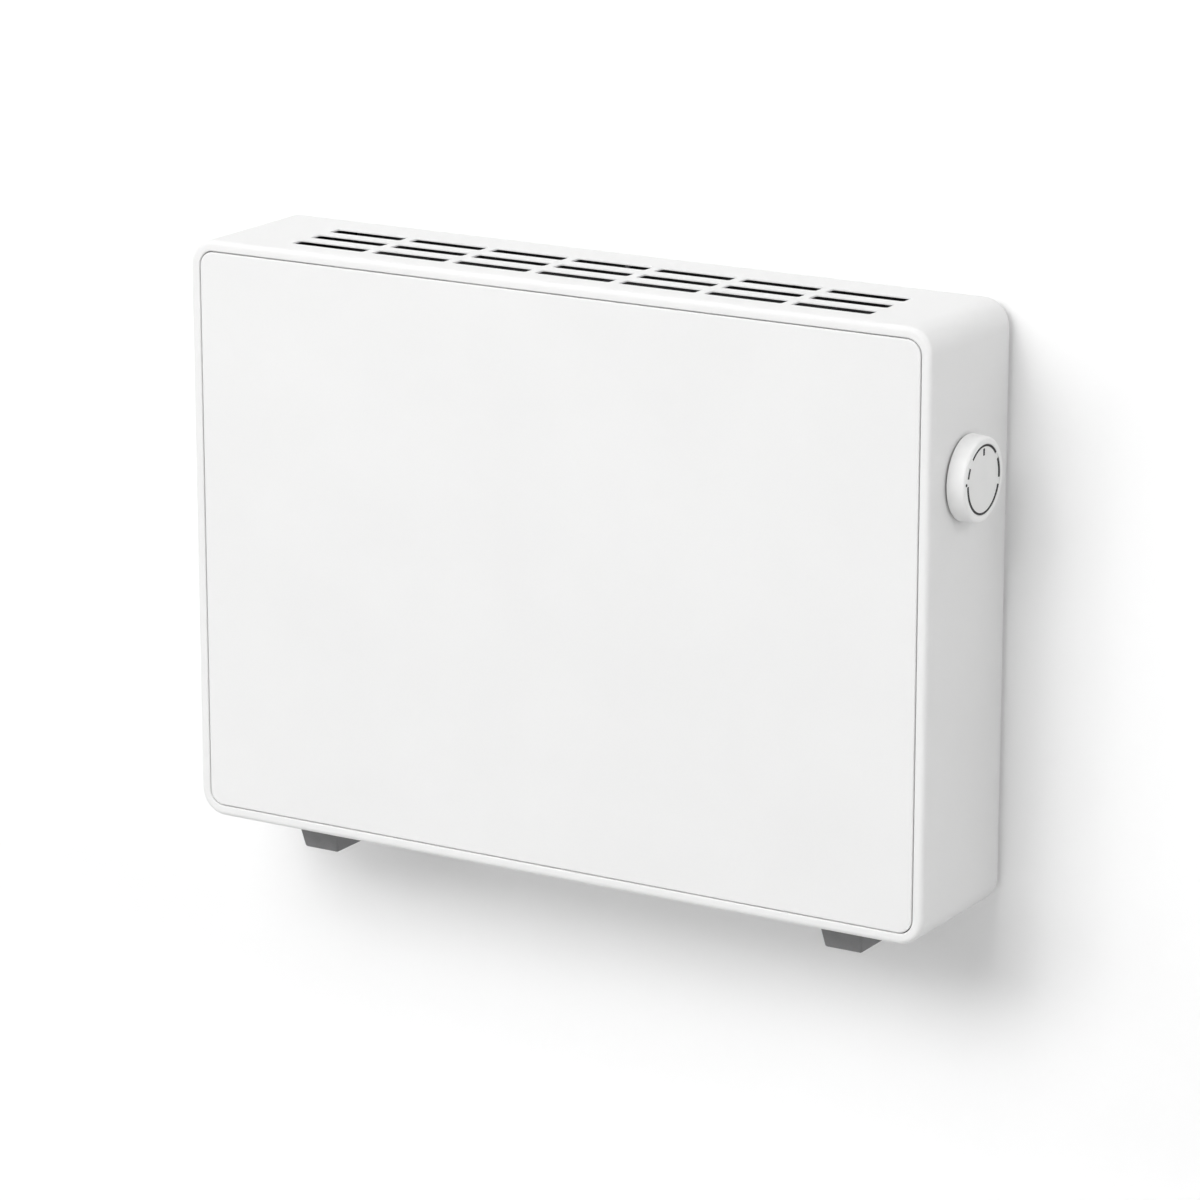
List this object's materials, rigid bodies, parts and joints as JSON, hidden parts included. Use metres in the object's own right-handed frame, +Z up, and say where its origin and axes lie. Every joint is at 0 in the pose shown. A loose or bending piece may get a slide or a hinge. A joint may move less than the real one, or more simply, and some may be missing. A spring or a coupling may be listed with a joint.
{
  "type": "electric panel heater",
  "caption": "Wall-hung electric panel heater with slotted top outlet, side thermostat knob, finned heating element and lift-off wall bracket.",
  "frame": {"origin": "centre of the wall bracket's four screw holes, on the wall plane", "axes": "+X to the heater's right as seen from the front, where the knob is; +Y into the wall; +Z up"},
  "size_m": [0.5119, 0.1, 0.3818],
  "materials": {
    "white_paint": "fine satin white powder coat",
    "white_plastic": "smooth satin white moulding",
    "pale_grey_plastic": "fine matte pale grey",
    "dark_print": "printed dark grey ink",
    "grey_plastic": "dark grey moulded plastic, lightly textured",
    "black_plastic": "black heat-resistant moulding",
    "zinc_sheet": "zinc-coated sheet steel with a faint spangle",
    "zinc_fastener": "bright zinc-plated steel",
    "spring_steel": "plain spring steel",
    "heater_steel": "dull heat-stained steel sheath",
    "bright_aluminium": "bright rolled aluminium",
    "brass": "plain brass",
    "copper": "drawn copper",
    "insulator_ceramic": "unglazed cream ceramic",
    "brown_insulation": "brown silicone insulation",
    "blue_insulation": "blue silicone insulation",
    "green_insulation": "green silicone insulation"
  },
  "bodies": {
    "bracket": {"wall_bracket": "zinc_sheet"},
    "heater": {"casing": "white_paint", "front_panel": "white_paint", "front_panel_clips": "spring_steel", "back_panel": "zinc_sheet", "back_panel_screws": "zinc_fastener", "heat_shield": "bright_aluminium", "partition": "zinc_sheet", "mounting_screws": "zinc_fastener", "element_rod": "heater_steel", "element_fins": "bright_aluminium", "element_support": "zinc_sheet", "element_insulators": "insulator_ceramic", "element_terminals": "spring_steel", "thermostat_body": "black_plastic", "thermostat_terminals": "brass", "thermostat_screws": "zinc_fastener", "capillary_tube": "copper", "sensor_bulb": "copper", "sensor_clips": "spring_steel", "thermal_cutout": "black_plastic", "cutout_screws": "zinc_fastener", "terminal_block": "white_plastic", "terminal_screws": "brass", "cable_gland": "grey_plastic", "gland_nut": "grey_plastic", "earth_stud": "brass", "earth_nut": "brass", "earth_lug": "spring_steel", "live_wires": "brown_insulation", "neutral_wire": "blue_insulation", "earth_wire": "green_insulation", "foot_left": "grey_plastic", "foot_right": "grey_plastic", "foot_screws": "zinc_fastener", "foot_nuts": "zinc_fastener"},
    "knob": {"knob_ring": "white_plastic", "knob_disc": "pale_grey_plastic", "knob_pointer": "dark_print", "knob_scale": "dark_print", "knob_dot": "dark_print", "knob_spring": "spring_steel", "thermostat_spindle": "brass"}
  },
  "joints": [
    {"name": "lift_off", "type": "slide", "parent": "bracket", "child": "heater", "axis": [0, 0, 1], "range_m": [0, 0.012]},
    {"name": "knob_turn", "type": "hinge", "parent": "heater", "child": "knob", "pos_m": [0.25, -0.057, 0.0875], "axis": [1, 0, 0], "range_deg": [-135, 135]}
  ]
}
